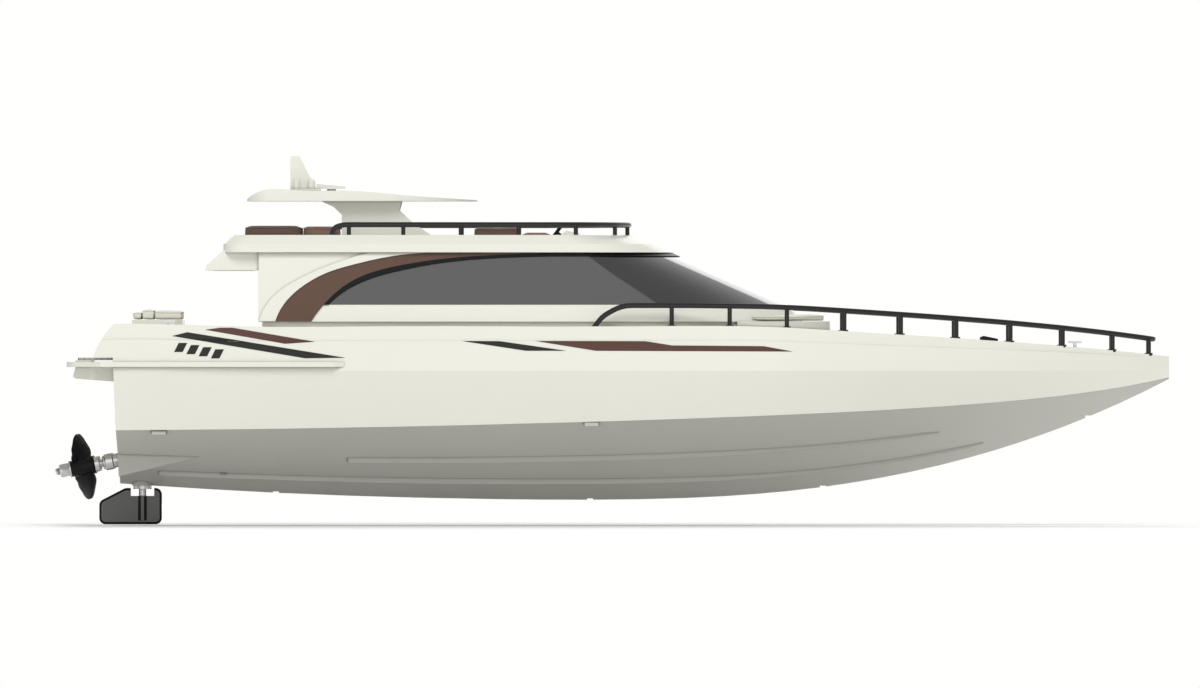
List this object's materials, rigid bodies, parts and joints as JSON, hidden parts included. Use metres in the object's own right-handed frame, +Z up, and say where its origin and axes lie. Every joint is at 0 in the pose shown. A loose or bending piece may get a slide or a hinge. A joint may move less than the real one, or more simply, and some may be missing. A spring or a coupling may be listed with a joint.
{
  "type": "rc boat",
  "caption": "Radio-controlled model motor yacht with flybridge, hardtop, twin propellers, a steering rudder and a lift-off cabin over the running gear.",
  "frame": {"origin": "under the middle of the boat's overall length, on the centreline, level with the bottom of the rudder", "axes": "+X to the bow, +Y to port, +Z up"},
  "size_m": [0.4475, 0.132, 0.148],
  "materials": {
    "ivory_hull": "glossy moulded ivory plastic",
    "grey_hull": "satin moulded warm grey plastic",
    "brown_trim": "satin dark brown moulding",
    "black_trim": "satin black moulding",
    "window": "dark tinted window moulding, nearly opaque",
    "deck_pad": "pale foam decking with plank lines on the swim platform",
    "cushion_ivory": "padded ivory vinyl",
    "cushion_brown": "padded brown vinyl",
    "rail": "dark grey satin wire",
    "steel": "turned stainless steel",
    "chrome_fitting": "polished small fittings",
    "brass": "turned brass",
    "black_nylon": "black glass-filled nylon",
    "motor_can": "plated motor can",
    "pack_wrap": "blue shrink wrap",
    "strap": "woven hook-and-loop strap",
    "wire": "silicone wire insulation",
    "gasket": "soft pale silicone",
    "foam": "white closed-cell foam",
    "magnet": "nickel-plated magnets"
  },
  "bodies": {
    "hull": {"lower_hull": "grey_hull", "upper_hull": "ivory_hull", "swim_platform": "ivory_hull", "platform_pad": "deck_pad", "platform_bracket": "ivory_hull", "bow_rail": "rail", "sunpad_base": "ivory_hull", "foredeck_sunpad": "cushion_ivory", "anchor_hatch": "black_trim", "mooring_cleats": "chrome_fitting", "cockpit_sofa": "ivory_hull", "sofa_cushions": "cushion_ivory", "deck_gasket": "gasket", "hull_magnets": "magnet", "stuffing_tubes": "steel", "motors": "motor_can", "motor_mount": "black_nylon", "servo": "black_nylon", "servo_mount": "grey_hull", "rudder_bush": "steel", "equipment_tray": "black_nylon", "battery_pack": "pack_wrap", "battery_strap": "strap", "control_box": "black_nylon", "power_leads": "wire", "servo_lead": "wire", "water_sensor_pins": "steel", "bow_foam": "foam"},
    "cabin_top": {"cabin_shell": "ivory_hull", "cabin_magnets": "magnet", "cabin_glass": "window", "window_trim": "black_trim", "arch_trim": "brown_trim", "cabin_door": "window", "flybridge_deck": "ivory_hull", "flybridge_rail": "rail", "flybridge_sunpad": "cushion_brown", "helm_seat": "cushion_brown", "helm_console": "ivory_hull", "steering_wheel": "black_nylon", "hardtop_pylons": "ivory_hull", "hardtop": "ivory_hull", "mast": "ivory_hull", "mast_instruments": "ivory_hull"},
    "starboard_drive": {"starboard_propeller": "black_nylon", "starboard_prop_hardware": "steel", "starboard_prop_shaft": "steel", "starboard_coupling": "brass", "starboard_motor_spindle": "steel"},
    "port_drive": {"port_propeller": "black_nylon", "port_prop_hardware": "steel", "port_prop_shaft": "steel", "port_coupling": "brass", "port_motor_spindle": "steel"},
    "rudder": {"rudder_blade": "black_nylon", "rudder_post": "steel", "tiller_arm": "brass"},
    "servo_horn": {"servo_horn": "black_nylon"},
    "pushrod": {"rudder_pushrod": "steel"},
    "power_switch": {"power_switch_knob": "black_nylon"}
  },
  "joints": [
    {"name": "cabin_lift", "type": "slide", "parent": "hull", "child": "cabin_top", "axis": [0, 0, 1], "range_m": [0, 0.09]},
    {"name": "starboard_shaft_spin", "type": "hinge", "parent": "hull", "child": "starboard_drive", "pos_m": [-0.1988, -0.02, 0.0259], "axis": [0.9816, 0, 0.1908], "continuous": true},
    {"name": "port_shaft_spin", "type": "hinge", "parent": "hull", "child": "port_drive", "pos_m": [-0.1988, 0.02, 0.0259], "axis": [0.9816, 0, 0.1908], "continuous": true},
    {"name": "rudder_turn", "type": "hinge", "parent": "hull", "child": "rudder", "pos_m": [-0.189, 0, 0.03], "axis": [0, 0, 1], "range_deg": [-30, 30]},
    {"name": "servo_turn", "type": "hinge", "parent": "hull", "child": "servo_horn", "pos_m": [-0.1456, 0, 0.043], "axis": [0, 0, 1], "range_deg": [-30, 30]},
    {"name": "pushrod_pivot", "type": "hinge", "parent": "servo_horn", "child": "pushrod", "pos_m": [-0.1456, 0.01, 0.043], "axis": [0, 0, 1], "range_deg": [-30, 30]},
    {"name": "power_switch_slide", "type": "slide", "parent": "hull", "child": "power_switch", "axis": [1, 0, 0], "range_m": [0, 0.002]}
  ],
  "couplings": [
    {"joint": "servo_turn", "follows": "rudder_turn", "ratio": 1},
    {"joint": "pushrod_pivot", "follows": "rudder_turn", "ratio": -1}
  ]
}
